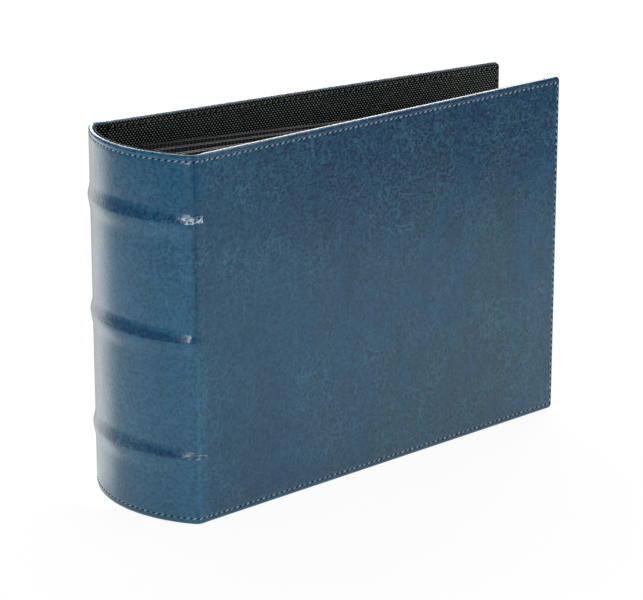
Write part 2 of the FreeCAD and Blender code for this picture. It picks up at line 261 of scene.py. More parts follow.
def joint_inside(inwards):
    """The path of a joint's lining: plan points on the outer face, inward normals and depths of the cloth's back.

    It leaves the spine's arc, goes round the corner curve and ends just under the edge of the cover's lining.
    """
    reach = sizes().joint_round
    around = spine_line()[CORNER_STATIONS + LINING_ON_ARC :: -1]
    along = np.linspace(reach, JOINT_WIDTH + JOINT_LINING_LAP, JOINT_LINING_STATIONS)[1:]
    line = np.concatenate([around, cover_plan(1, along, 0.0)])
    share = np.clip((along - reach) / (JOINT_WIDTH - reach), 0, 1)
    depth = joint_depth(np.concatenate([np.zeros(len(around)), share]))
    mirror = np.array([1, inwards])
    return line * mirror, inward_normals(line) * mirror, depth


def run_lengths(line):
    """Distance travelled along a line at each of its points."""
    steps = np.linalg.norm(np.diff(line, axis=0), axis=1)
    return np.concatenate([[0], np.cumsum(steps)])


def interpolated(at, steps, values):
    """Vectors at distances along a line, between those that belong to its points."""
    return np.stack([np.interp(at, steps, values[:, k]) for k in range(3)], -1)


def stations_near(start, end, count, place):
    """Stations from start to end, with closer ones around a seam at a place."""
    closer = place + np.linspace(-SEAM_REACH, SEAM_REACH, SEAM_STATIONS)
    stations = np.concatenate([np.linspace(start, end, count), closer])
    return np.unique(np.round(stations[(stations >= start) & (stations <= end)], 6))


def upright(plan, height):
    """Plan points at one height."""
    return np.column_stack([plan, np.full(len(plan), height)])


# Shape of the hide


def eased(ramp):
    """A ramp from 0 to 1 with soft ends: 3t^2 - 2t^3."""
    return ramp**2 * (3 - 2 * ramp)


def quarter_drop(distance, radius):
    """How far a quarter circle of that radius has dropped at a distance from its end, and 0 beyond it."""
    reach = np.clip(radius - distance, 0, radius)
    return radius - np.sqrt(radius**2 - reach**2)


def seam(distance):
    """How far the hide is pulled in at a distance from a row of sewing: a bell curve."""
    return sizes().seam_dent * np.exp(-((distance / SEAM_WIDTH) ** 2))


def edge_seams(height):
    """How far the rows of sewing along the tail and the head pull the hide in."""
    return np.maximum(seam(height - STITCH_ROW), seam(HEIGHT - STITCH_ROW - height))


def band_swell(height, share, bridge=0.0):
    """How far the hide stands out over the raised bands, share being what is left of each, lowest band first.

    Above the cord's crown the hide falls in a slope, and below it in a longer soft one: each is an eased ramp,
    mixed with the ramp itself on the upper side.  bridge lengthens the upper slope and lifts the crown, from 0
    at the joints to 1 at the middle of the spine, where the hide is tightest.
    """
    above = height[..., None] - BAND_HEIGHTS
    bridge = np.asarray(bridge)[..., None]
    slope = BAND_HALF_WIDTH * (SLOPE_AT_JOINT + (SLOPE_AT_MIDDLE - SLOPE_AT_JOINT) * bridge)
    upper = np.clip(1 - above / slope, 0, 1)
    lower = np.clip((2 * BAND_HALF_WIDTH + above) / (2 * BAND_HALF_WIDTH), 0, 1)
    rise = BAND_RISE * (RISE_AT_JOINT + RISE_TO_MIDDLE * bridge)
    return (rise * (SLOPE_STRAIGHT * upper + SLOPE_SOFT * eased(upper)) * eased(lower) * share).sum(-1)


def face_rows():
    """Heights on the outer face, close together at the seams and the bands."""
    near_seams = np.linspace(-2 * MM, 2 * MM, 17)
    near_bands = np.linspace(-8 * MM, 8 * MM, 41)
    stretches = [np.linspace(0, HEIGHT, 70), STITCH_ROW + near_seams, HEIGHT - STITCH_ROW + near_seams]
    stretches += [height + near_bands for height in BAND_HEIGHTS]
    return np.unique(np.round(np.concatenate(stretches), 6))


def hide_section():
    """One closed section of the hide, as arrays of depth share, depth offset, height and what is on the outer face.

    It goes up the outer face, over the head, down the inner face and under the tail.  Each edge is two quarter
    circles.  A point's depth is share * thickness + offset, so that a section can be carried to any thickness.
    """
    roll = sizes().edge_roll
    turn = CORNER_TURN[:-1]
    low, high = roll, HEIGHT - roll
    rows = face_rows()
    outer = rows[(rows > low) & (rows < high)]
    inner = np.linspace(high, low, INNER_ROWS)
    rise, reach = roll * np.sin(turn), roll * (1 - np.cos(turn))
    pieces = [
        (0, 0 * outer, outer),
        (0, [0.0], [high]),
        (0, reach, high + rise),
        (0, [roll], [HEIGHT]),
        (1, [-roll], [HEIGHT]),
        (1, -reach[::-1], high + rise[::-1]),
        (1, 0 * inner, inner),
        (1, -reach, low - rise),
        (1, [-roll], [0.0]),
        (0, [roll], [0.0]),
        (0, reach[::-1], low - rise[::-1]),
        (0, [0.0], [low]),
    ]
    share = np.concatenate([np.full(len(height), float(part)) for part, _, height in pieces])
    offset = np.concatenate([offset for _, offset, _ in pieces])
    height = np.concatenate([height for _, _, height in pieces])
    return share, offset, height, (share == 0) & (offset == 0)


# Meshes


def new_piece(name, points, faces, materials, face_materials=None):
    """A smooth mesh object at the origin whose faces are turned to point outwards."""
    points = np.asarray(points, float)
    mesh = bpy.data.meshes.new(name)
    mesh.from_pydata(points, [], faces)
    for material in materials:
        mesh.materials.append(material)
    mesh.polygons.foreach_set("use_smooth", np.ones(len(mesh.polygons), bool))
    if face_materials is not None:
        mesh.polygons.foreach_set("material_index", np.asarray(face_materials, np.int32))
    mesh.calc_loop_triangles()
    corners = np.empty(len(mesh.loop_triangles) * 3, np.int32)
    mesh.loop_triangles.foreach_get("vertices", corners)
    a, b, c = (points[corners[i::3]] for i in range(3))
    if np.einsum("ij,ij->", a, np.cross(b, c)) < 0:
        mesh.flip_normals()
    mesh.set_sharp_from_angle(angle=SHARP_EDGE)
    mesh.update()
    piece = bpy.data.objects.new(name, mesh)
    bpy.context.scene.collection.objects.link(piece)
    return piece


def sweep_faces(stations, loop):
    """Quads between closed loops carried along a path, with the first and last loop closed by a face."""
    index = np.arange(stations * loop).reshape(stations, loop)
    beside = np.roll(index, -1, axis=1)
    quads = np.stack([index[:-1], beside[:-1], beside[1:], index[1:]], -1).reshape(-1, 4).tolist()
    return quads + [index[0][::-1].tolist(), index[-1].tolist()]


def swept_piece(name, line, normals, depth, heights, material):
    """Loops of depths behind a plan line and of heights, one for each station, joined into one piece."""
    plan = line[:, None, :] + depth[..., None] * normals[:, None, :]
    points = np.concatenate([plan, heights[..., None]], -1)
    return new_piece(name, points.reshape(-1, 3), sweep_faces(*heights.shape), [material])


def hide(name, line, normals, thickness, dent, top=None, squeeze=None):
    """The section carried along a plan line, pulled in by dent(run, height) on the outer face.

    top and squeeze are, for each station, how far the head and tail come in and how far the faces come together.
    """
    share, offset, height, outer = hide_section()
    run = run_lengths(line)
    thickness = np.broadcast_to(thickness, run.shape)[:, None]
    heights = np.broadcast_to(height, (len(run), len(height))).copy()
    if top is not None:
        heights = HEIGHT / 2 + (heights - HEIGHT / 2) * (1 - 2 * top[:, None] / HEIGHT)
    thin = np.minimum(1, thickness / (2 * sizes().edge_roll))
    depth = share * thickness + offset * thin + np.where(outer, dent(run[:, None], heights), 0)
    if squeeze is not None:
        middle = thickness / 2
        depth = middle + (depth - middle) * (1 - squeeze[:, None] / middle)
    return swept_piece(name, line, normals, depth, heights, blue_leather())


def cloth_strip(name, line, normals, depth, margin):
    """A thin lining carried along a plan line at a depth behind it; margin is what it leaves at head and tail."""
    low = np.broadcast_to(margin, len(line))
    top = HEIGHT - low
    inside = np.broadcast_to(depth, len(line))[:, None] + np.array([0, 0, 1, 1]) * LINING
    heights = np.stack([low, top, top, low], -1)
    return swept_piece(name, line, normals, inside, heights, dotted_lining("X"))


def beads(centres, along, outwards, part):
    """One closed bead for each centre: an ellipsoid, as its unit sphere of rings and segments, stretched.

    part gives the bead's length, width and height.  Returns the points and faces.
    """
    rings, segments = 5, 8
    polar = np.linspace(0, math.pi, rings + 2)[1:-1, None]
    around = np.arange(segments) * 2 * math.pi / segments
    ball = np.stack(
        [np.cos(polar) + 0 * around, np.sin(polar) * np.cos(around), np.sin(polar) * np.sin(around)], -1
    ).reshape(-1, 3)
    ball = np.concatenate([ball, [[1, 0, 0], [-1, 0, 0]]]) * np.array(part) / 2
    across = np.cross(outwards, along)
    axes = np.stack([along, across, outwards], 1)
    points = centres[:, None, :] + np.einsum("pk,nkc->npc", ball, axes)
    index = np.arange(rings * segments).reshape(rings, segments)
    beside = np.roll(index, -1, axis=1)
    quads = np.stack([index[:-1], index[1:], beside[1:], beside[:-1]], -1).reshape(-1, 4)
    first_pole, last_pole = rings * segments, rings * segments + 1
    first = np.stack([np.full(segments, first_pole), index[0], beside[0]], -1)
    last = np.stack([np.full(segments, last_pole), beside[-1], index[-1]], -1)
    start = np.arange(len(centres))[:, None, None] * len(ball)
    faces = (quads + start).reshape(-1, 4).tolist() + (np.concatenate([first, last]) + start).reshape(-1, 3).tolist()
    return points.reshape(-1, 3), faces


def sewing(name, runs, materials):
    """All the stitches and needle holes of one row of sewing as one piece.

    Each run is a line of points with the direction that faces out; stitches lie at every pitch along it, each
    turned by the slant, and holes between them.
    """
    pitch = sizes().stitch_pitch
    stitch = (sizes().stitch_length, sizes().thread, sizes().thread)
    points, faces, face_materials, count = [], [], [], 0
    for line, outwards in runs:
        steps = run_lengths(line)
        number = max(int(round(steps[-1] / pitch)), 1)
        for part, places, slant, slot in (
            (stitch, (np.arange(number) + 0.5) / number, STITCH_SLANT, 0),
            (NEEDLE_HOLE, np.arange(number + 1) / number, 0, 1),
        ):
            at = places * steps[-1]
            out = interpolated(at, steps, outwards)
            out /= np.linalg.norm(out, axis=1, keepdims=True)
            along = interpolated(at + pitch / 4, steps, line) - interpolated(at - pitch / 4, steps, line)
            along -= out * np.sum(along * out, axis=1, keepdims=True)
            along /= np.linalg.norm(along, axis=1, keepdims=True)
            along = along * math.cos(slant) + np.cross(out, along) * math.sin(slant)
            centres = interpolated(at, steps, line) + out * THREAD_LIFT
            new_points, new_faces = beads(centres, along, out, part)
            points.append(new_points)
            faces += [[corner + count for corner in face] for face in new_faces]
            face_materials += [slot] * len(new_faces)
            count += len(new_points)
    return new_piece(name, np.concatenate(points), faces, materials, face_materials)


# Materials

NODES = {  # kind of node: its inputs in the order they are given here, the output that is used, its usual settings
    "Bump": (("Height", "Strength", "Distance"), "Normal", {}),
    "Emission": (("Color", "Strength"), "Emission", {}),
    "LightPath": ((), None, {}),
    "MapRange": ((0, 1, 2, 3, 4), 0, {"interpolation_type": "SMOOTHSTEP"}),
    "Mapping": (("Vector", "Scale", "Rotation"), "Vector", {"vector_type": "TEXTURE"}),
    "Math": ((0, 1), 0, {"operation": "MULTIPLY"}),
    "Mix": ((0, 6, 7), 2, {"data_type": "RGBA"}),
    "MixShader": ((0, 1, 2), 0, {}),
    "SeparateXYZ": ((0,), None, {}),
    "TexCoord": ((), "Object", {}),
    "TexNoise": (("Vector", "Scale", "Detail", "Roughness"), "Fac", {}),
    "TexVoronoi": (("Vector", "Scale"), "Distance", {"feature": "DISTANCE_TO_EDGE"}),
    "TexWave": (("Vector", "Scale"), "Fac", {"bands_direction": "DIAGONAL"}),
    "VectorMath": ((0, 1, 2), "Vector", {"operation": "MULTIPLY_ADD"}),
}


def connect(made, inputs):
    """Sets each input of a node to a value, or links it where the value is another node's output."""
    for key, value in inputs.items():
        if isinstance(value, bpy.types.NodeSocket):
            made.id_data.links.new(value, made.inputs[key])
        else:
            made.inputs[key].default_value = value


def node(tree, kind, *values, output=None, **settings):
    """Adds one node of a kind in NODES with its settings and input values, and gives the output that is used."""
    inputs, usual_output, usual_settings = NODES[kind]
    made = tree.nodes.new(f"ShaderNode{kind}")
    for name, value in {**usual_settings, **settings}.items():
        setattr(made, name, value)
    connect(made, dict(zip(inputs, values)))
    used = output or usual_output
    return made.outputs if used is None else made.outputs[used]


def new_material(name):
    """A new material, its shader, and the function that adds nodes to it."""
    material = bpy.data.materials.new(name)
    material.use_nodes = True
    tree = material.node_tree
    return material, tree.nodes["Principled BSDF"], functools.partial(node, tree)


def rgba(value, share=1.0):
    """A colour as a socket value, darkened to a share of itself."""
    return (*(share * channel for channel in value), 1.0)


@functools.cache
def blue_leather():
    """Pull-up leather: waxed cowhide, paler in strokes and hair creases where bent, deep in its pits and folds."""
    material, shader, add = new_material("pull_up_leather_blue")
    place = add("TexCoord")
    x, y, z = add("SeparateXYZ", place)

    def noise(size_mm, detail, lean=0, output=None):
        """Noise of a size along X, Y and Z, leaning by so many degrees in the plane of the covers."""
        at = add("Mapping", place, [v * MM for v in size_mm], (0, math.radians(lean), 0))
        return add("TexNoise", at, 1.0, detail, 0.6, output=output)

    def between(value, low, high, soft):
        """1 from low to high and 0 outside, with soft ends."""
        rise = add("MapRange", value, low - soft, low + soft)
        return add("Math", rise, add("MapRange", value, high - soft, high + soft, 1.0, 0.0))

    # Hairs and pits all over, with strokes and creases that are fainter in a belt near half height
    clouds = noise((48, 48, 60), 5)
    pulls = noise((11, 11, 20), 4, 6)
    upright_strokes = add("MapRange", noise((1.5, 1.5, 12), 2, 8), 0.67, 0.78)
    slanting_strokes = add("MapRange", noise((1.4, 1.4, 9), 2, -32), 0.64, 0.76)
    strokes = add("Math", upright_strokes, slanting_strokes, operation="MAXIMUM")
    hairs = [add("MapRange", noise((0.7, 0.7, 18), 1, lean), 0.66, 0.74) for lean in (4, 28, -22)]
    hair = add("Math", hairs[0], add("Math", hairs[1], hairs[2], operation="MAXIMUM"), operation="MAXIMUM")
    pits = add("MapRange", noise((2.0, 2.0, 1.5), 1), 0.38, 0.53, 1.0, 0.0)
    bent = add("VectorMath", noise((8, 8, 8), 3, output="Color"), (7 * MM,) * 3, place)

    def creases(size, width):
        """Lines between wandering cells of a size, 1 on a line and 0 from a width on, as a share of the size."""
        return add("MapRange", add("TexVoronoi", bent, 1 / size), 0.0, width, 1.0, 0.0)

    coarse, fine = add("Math", creases(5.5 * MM, 0.09), 0.5), add("Math", creases(2.6 * MM, 0.16), 0.5)
    web = add("Math", coarse, fine, operation="ADD")
    patches = add("MapRange", noise((24, 24, 30), 4), 0.36, 0.66, 0.32, 1.0)
    from_belt = add("Math", add("Math", z, 0.53 * HEIGHT, operation="SUBTRACT"), operation="ABSOLUTE")
    wrinkled = add("MapRange", from_belt, 0.0, 0.2 * HEIGHT, 0.7, 1.05)
    lines = add("Math", web, strokes, operation="MAXIMUM")
    lines = add("Math", add("Math", lines, patches), wrinkled)
    lines = add("Math", lines, add("Math", hair, 0.6), operation="MAXIMUM")

    # Deep towards the head and in the joints, and painted shade in the crease of each corner
    drift = add("Math", add("Math", pulls, 0.5, operation="SUBTRACT"), 90 * MM)
    drifting = add("Math", z, drift, operation="ADD")
    head = add("MapRange", drifting, HEIGHT - 95 * MM, HEIGHT + 5 * MM, 0.0, 0.85)
    head = add("Math", head, add("MapRange", x, JOINT_X, 0.0, 0.28, 1.2))
    upper_half = add("MapRange", z, CREASE_LOW * HEIGHT, CREASE_HIGH * HEIGHT, 0.1, 1.0)
    fold = add("Math", between(x, JOINT_X - 1 * MM, JOINT_X + JOINT_WIDTH, 1.2 * MM), upper_half)
    crease = add("Math", between(x, JOINT_X - 0.4 * MM, JOINT_X + 0.9 * MM, 0.5 * MM), upper_half)
    corner = between(x, JOINT_X - 0.2 * MM, JOINT_X + 1.4 * MM, 0.5 * MM)
    on_spine = add("MapRange", x, JOINT_X + 3 * MM, JOINT_X + 7.5 * MM, 1.0, 0.0)
    deep = add("Math", head, add("Math", fold, 0.25), operation="MAXIMUM")

    # A ragged strip of painted shade above each band, where its slope mirrors the dark room, and painted glints
    # at the ends of the upper and the lower one
    slopes = [BAND_HALF_WIDTH * share for share in (SLOPE_AT_MIDDLE, SLOPE_AT_JOINT)]
    slope = add("MapRange", add("Math", y, operation="ABSOLUTE"), 0.0, HALF_SPINE, *slopes)
    strips = []
    for band in BAND_HEIGHTS:
        up = add("Math", add("Math", z, float(band), operation="SUBTRACT"), slope, operation="DIVIDE")
        strips.append(add("Math", add("MapRange", up, 0.0, 0.12), add("MapRange", up, 0.55, 1.0, 1.0, 0.0)))
    lower, middle, upper = strips
    flank = add("Math", add("Math", lower, middle, operation="ADD"), upper, operation="ADD")
    ragged = add("MapRange", noise((3.5, 3.5, 1.6), 3), 0.34, 0.62, 0.5, 1.0)
    flank = add("Math", add("Math", flank, on_spine), ragged)
    at_ends = between(x, JOINT_X - 5 * MM, JOINT_X + 5 * MM, 1 * MM)
    streaks = add("MapRange", noise((1.8, 1.8, 1.1), 2), 0.46, 0.6)
    # Painted highlight: pale streaky glints at the band ends, full on the upper band and fainter on the lower
    band_end_glints = add("Math", add("Math", lower, 0.4), upper, operation="MAXIMUM")
    band_end_glints = add("Math", add("Math", band_end_glints, at_ends), streaks)

    # Each colour laid over the ones before it
    worn = add("Math", clouds, add("Math", pulls, 0.7), operation="ADD")
    worn = add("MapRange", worn, 0.6, 1.08, 0.1, 0.85)
    worn = add("Math", worn, add("MapRange", x, JOINT_X, -JOINT_X, 0.55, 1.4))
    uneven = add("Math", deep, add("MapRange", pulls, 0.3, 0.65, 0.9, 0.3))
    # Painted shade above the bands and in the corner crease, with some of the joints' deeper tone
    fold_and_shade = add("Math", flank, add("Math", crease, 0.85), operation="MAXIMUM")
    fold_and_shade = add("Math", fold_and_shade, add("Math", fold, 0.35), operation="MAXIMUM")
    # Painted highlight: a pale line on the corner's crest, fading out towards the head
    corner_highlight = add("Math", corner, add("MapRange", upper_half, 0.1, 1.0, 0.35, 0.0))
    pitted = add("Math", pits, add("MapRange", deep, 0.0, 0.8, 0.34, 0.85))
    blues = colours()
    base = rgba(blues.leather)
    for share, blue in (
        (on_spine, blues.leather_spine),
        (worn, blues.leather_worn),
        (uneven, blues.leather_deep),
        (fold_and_shade, blues.leather_fold_and_shade),
        (add("Math", lines, 0.68), blues.leather_crease),
        (corner_highlight, blues.leather_crease),
        (pitted, blues.leather_deep),
        (add("Math", band_end_glints, 0.9), blues.leather_glint),
    ):
        base = add("Mix", share, base, rgba(blue))

    sunk = add("Math", add("Math", pitted, 0.8), add("Math", lines, 0.3), operation="ADD")
    grain = add("Math", noise((1.3, 1.3, 1.0), 1), add("Math", flank, 1.6))
    relief = add("Math", grain, sunk, operation="SUBTRACT")
    finish = {
        "Base Color": base,
        "Roughness": add("MapRange", pulls, 0.3, 0.7, 0.22, 0.3),
        "Normal": add("Bump", relief, 0.6, 0.14 * MM),
        "IOR": 1.34,
        "Coat Weight": 0.4,
        "Coat Roughness": 0.14,
        "Coat IOR": 1.4,
    }
    connect(shader, finish)
    return material


@functools.cache
def waxed_thread(which):
    """Waxed polyester thread: a twisted yarn with a soft shine along its ply."""
    material, shader, add = new_material(f"waxed_thread_{which}")
    tint = {"blue": colours().thread, "black": linear("#59625f")}[which]
    ply = 0.5 * MM
    twist = add("TexWave", add("TexCoord"), 1 / (ply * 20))
    connect(shader, {"Base Color": add("Mix", twist, rgba(tint, 0.55), rgba(tint)), "Roughness": 0.26})
    return material


@functools.cache
def pierced_hide(which):
    """Pierced leather: the shaded inside of a needle hole."""
    material, shader, add = new_material(f"needle_hole_{which}")
    tint = {"blue": colours().needle_hole, "black": linear("#030404")}[which]
    shade = add("TexNoise", add("TexCoord"), 1 / (2 * MM))
    connect(shader, {"Base Color": add("Mix", shade, rgba(tint, 0.6), rgba(tint)), "Roughness": 0.8})
    return material


@functools.cache
def dotted_lining(axis):
    """Embossed nonwoven cloth: matt black felted fibre with staggered raised dots along rows."""
    material, shader, add = new_material(f"embossed_lining_{axis.lower()}")
    pitch = sizes().dot_pitch
    row = 0.65 * pitch
    place = add("TexCoord")
    parts = add("SeparateXYZ", place)
    up = add("Math", parts["Z"], row, operation="DIVIDE")
    odd = add("Math", add("Math", up, operation="FLOOR"), 2.0, operation="FLOORED_MODULO")
    along = add("Math", parts[axis], pitch, operation="DIVIDE")
    along = add("Math", along, add("Math", odd, 0.5), operation="ADD")
    squares = []
    for value in (along, up):
        from_middle = add("Math", add("Math", value, operation="FRACT"), 0.5, operation="SUBTRACT")
        squares.append(add("Math", from_middle, from_middle))
    distance = add("Math", add("Math", *squares, operation="ADD"), operation="SQRT")
    dot = add("MapRange", distance, 0.14, 0.32, 1.0, 0.0)
    fibre = add("TexNoise", place, 1 / (0.8 * MM), 4.0)
    bright = add("Math", dot, add("MapRange", fibre, 0.3, 0.7, 0.35, 1.0))
    relief = add("Math", dot, add("Math", fibre, 0.4), operation="ADD")
    finish = {
        "Base Color": add("Mix", bright, rgba(colours().lining), rgba(colours().lining_dot)),
        "Normal": add("Bump", relief, 0.7, 0.2 * MM),
        "Roughness": 0.75,
        "Specular IOR Level": 0.2,
    }
    connect(shader, finish)
    return material


@functools.cache
def black_leaf():
    """Black album card, its head turned over into a ribbed hem, each rib painted paler as a highlight."""
    material, shader, add = new_material("album_card_black")
    place = add("TexCoord")
    x, _, z = add("SeparateXYZ", place)
    along = add("Math", add("Math", x, sizes().rib_pitch, operation="DIVIDE"), operation="FRACT")
    from_rib = add("Math", add("Math", along, 0.5, operation="SUBTRACT"), operation="ABSOLUTE")
    rib = add("MapRange", from_rib, 0.12, 0.34, 1.0, 0.0)
    hem_low = HEIGHT - LEAF_HEAD - HEM_HEIGHT
    hem = add("MapRange", z, hem_low - 3.5 * MM, hem_low + 0.5 * MM)
    fibre = add("TexNoise", place, 1 / (1.2 * MM), 5.0)
    ribs = add("Math", add("Math", rib, hem), add("MapRange", fibre, 0.3, 0.7, 0.4, 1.0))
    relief = add("Math", ribs, add("Math", fibre, 0.3), operation="ADD")
    finish = {
        "Base Color": add("Mix", ribs, rgba(colours().leaf), rgba(colours().leaf_rib_highlight)),
        "Normal": add("Bump", relief, 0.6, 0.25 * MM),
        "Roughness": 0.6,
    }
    connect(shader, finish)
    return material


@functools.cache
def clear_film():
    """Clear polypropylene film: thin, glossy and faintly rippled."""
    material, shader, add = new_material("clear_film")
    ripple = add("TexNoise", add("TexCoord"), 1 / (18 * MM), 2.0)
    finish = {
        "Base Color": rgba(linear("#c9d2d4")),
        "Normal": add("Bump", ripple, 0.25, 0.4 * MM),
        "Alpha": 0.12,
        "Roughness": 0.12,
        "IOR": 1.49,
    }
    connect(shader, finish)
    return material


@functools.cache
def woven_cloth(name, hex_dark, hex_light, thread_mm):
    """Plain woven linen or cotton: crossed threads that show as fine alternating bars."""
    material, shader, add = new_material(name)
    x, y, z = add("SeparateXYZ", add("TexCoord"))
    around = 2 * math.pi / (2 * thread_mm * MM)
    level = add("Math", x, y, operation="ADD")
    waves = [add("Math", add("Math", value, around), operation="SINE") for value in (level, z)]
    weave = add("MapRange", add("Math", *waves), -1.0, 1.0)
    finish = {
        "Base Color": add("Mix", weave, rgba(linear(hex_dark)), rgba(linear(hex_light))),
        "Normal": add("Bump", weave, 0.5, 0.1 * MM),
        "Roughness": 0.85,
    }
    connect(shader, finish)
    return material


@functools.cache
def grey_board():
    """Binder's board: pressed waste paper with flecks of fibre."""
    material, shader, add = new_material("binders_board")
    fleck = add("TexNoise", add("TexCoord"), 1 / (1.5 * MM), 6.0)
    tint = colours().board
    connect(shader, {"Base Color": add("Mix", fleck, rgba(tint, 0.6), rgba(tint)), "Roughness": 0.9})
    return material


@functools.cache
def white_paper():
    """White studio paper: an even white to the camera, and a glow for painted reflections that fades with distance.

    Behind the album the glow is a bright painted sheet, warmer than white, brightest in line with the spine and
    falling off to the right.
    """
    material, shader, add = new_material("white_paper_floor")
    rays = add("LightPath")
    seen, mirrored = rays["Is Camera Ray"], rays["Is Glossy Ray"]
    place = add("TexCoord")
    x, y, _ = add("SeparateXYZ", place)
    far = add("VectorMath", place, operation="LENGTH", output="Value")
    from_spine = add("Math", x, 130 * MM, operation="ADD")
    behind_by = add("Math", y, 20 * MM, operation="MAXIMUM")
    to_the_right = add("Math", from_spine, behind_by, operation="DIVIDE")
    in_front = add("MapRange", far, 0.35, 0.75, 1.0, 0.2)
    behind = add("MapRange", y, 0.0, 60 * MM)
    beside = add("Mix", behind, in_front, add("MapRange", far, 0.6, 0.95, 1.0, 0.15))
    sheet = add("Math", behind, add("MapRange", to_the_right, -0.7, -0.2))
    paper = add("Mix", sheet, beside, add("MapRange", to_the_right, -0.25, 0.65, 2.2, 0.32))
    white = add("Mix", seen, (1.0, 0.97, 0.88, 1.0), (1.0, 1.0, 1.0, 1.0))
    glow = add("Emission", white, add("Math", seen, paper, operation="MAXIMUM"))
    lit = 0.93  # share of the paper's look that is its own glow
    shown = add("Math", add("Math", seen, lit), add("Math", mirrored, lit), operation="MAXIMUM")
    connect(shader, {"Base Color": rgba(linear("#f4f4f4")), "Roughness": 0.9})
    both = add("MixShader", shown, shader.outputs[0], glow)
    connect(material.node_tree.nodes["Material Output"], {"Surface": both})
    return material


# Pieces


def dress(node_name, material):
    """Gives a CAD node its material."""
    slots = frame["nodes"][node_name].data.materials
    slots.clear()
    slots.append(material)


class ALBUM_OT_covers(bpy.types.Operator):
    """Wraps each cover in leather, rolled over its edges and pulled in along its sewing"""

    bl_idname = "album.covers"
    bl_label = "Covers"

    def execute(self, context):
        roll, corner = sizes().edge_roll, sizes().corner
        row = COVER_WIDTH - FORE_STITCH_ROW
        turn = np.linspace(0, math.pi / 2, FORE_EDGE_STATIONS)
        ends = COVER_WIDTH - corner * (1 - np.cos(turn))
        along = stations_near(JOINT_WIDTH, COVER_WIDTH, COVER_STATIONS, row)
        along = np.unique(np.concatenate([along, ends]))
        left = COVER_WIDTH - along
        drop, squeeze = quarter_drop(left, corner), quarter_drop(left, roll)

        def dent(run, height):
            within = (height > STITCH_ROW) & (height < HEIGHT - STITCH_ROW)
            fore = np.where(within, seam(run + JOINT_WIDTH - row), 0)
            return np.maximum(np.where(run + JOINT_WIDTH < row, edge_seams(height), 0), fore)

        for side, inwards in SIDES.items():
            piece = hide(f"{side}_cover_hide", *cover_line(inwards, along), COVER_HIDE, dent, drop, squeeze)
            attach(piece, f"{side}_cover")
            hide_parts(f"{side}_leather", f"{side}_board")
        return {"FINISHED"}


class ALBUM_OT_joints(bpy.types.Operator):
    """Lays leather and lining across each joint between the spine and a cover"""

    bl_idname = "album.joints"
    bl_label = "Joints"

    def execute(self, context):
        along = np.linspace(sizes().joint_round, JOINT_WIDTH, JOINT_STATIONS)
        share = (along - along[0]) / (along[-1] - along[0])

        def dent(run, height):
            left = np.clip(1 - run[..., None] / BAND_FADE_ON_JOINT, 0, 1)
            return edge_seams(height) - band_swell(height, np.array([0.0, 0.0, BAND_ON_JOINT]) * eased(left))

        for side, inwards in SIDES.items():
            piece = hide(f"{side}_joint_hide", *cover_line(inwards, along), joint_depth(share), dent)
            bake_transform(piece)
            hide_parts(f"{side}_joint_leather")

            cloth = cloth_strip(f"{side}_joint_cloth", *joint_inside(inwards), JOINT_LINING_EDGE)
            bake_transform(cloth)
            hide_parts(f"{side}_joint_lining")
        return {"FINISHED"}


class ALBUM_OT_spine(bpy.types.Operator):
    """Stretches one hide round the spine and over its raised bands"""

    bl_idname = "album.spine"
    bl_label = "Spine"

    def execute(self, context):
        line = spine_line()
        whole = run_lengths(line)[-1]
        if whole < 2 * HALF_SPINE:
            raise RuntimeError("the spine's plan is shorter than its chord")
        fold = sizes().joint_round

        def dent(run, height):
            from_end = np.minimum(run, whole - run)
            share = eased(np.clip(from_end / (BAND_FADE * fold), 0, 1))[..., None]
            share = np.maximum(share, [0.0, 0.0, BAND_ON_JOINT])
            up = np.clip((height / HEIGHT - CREASE_LOW) / (CREASE_HIGH - CREASE_LOW), 0, 1)
            deeper = CREASE_AT_TAIL + (1 - CREASE_AT_TAIL) * up
            crease = CREASE_DEPTH * np.exp(-(((from_end - CREASE_PLACE * fold) / CREASE_WIDTH) ** 2)) * deeper
            bridge = np.sin(math.pi * run / whole)
            return np.maximum(edge_seams(height), crease) - band_swell(height, share, bridge)

        piece = hide("spine_hide", line, -inward_normals(line), SPINE_DEPTH, dent)
        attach(piece, "spine")
        bands = [name for name in frame["nodes"] if name.startswith("spine_band")]
        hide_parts("spine_leather", "spine_card", *bands)
        return {"FINISHED"}


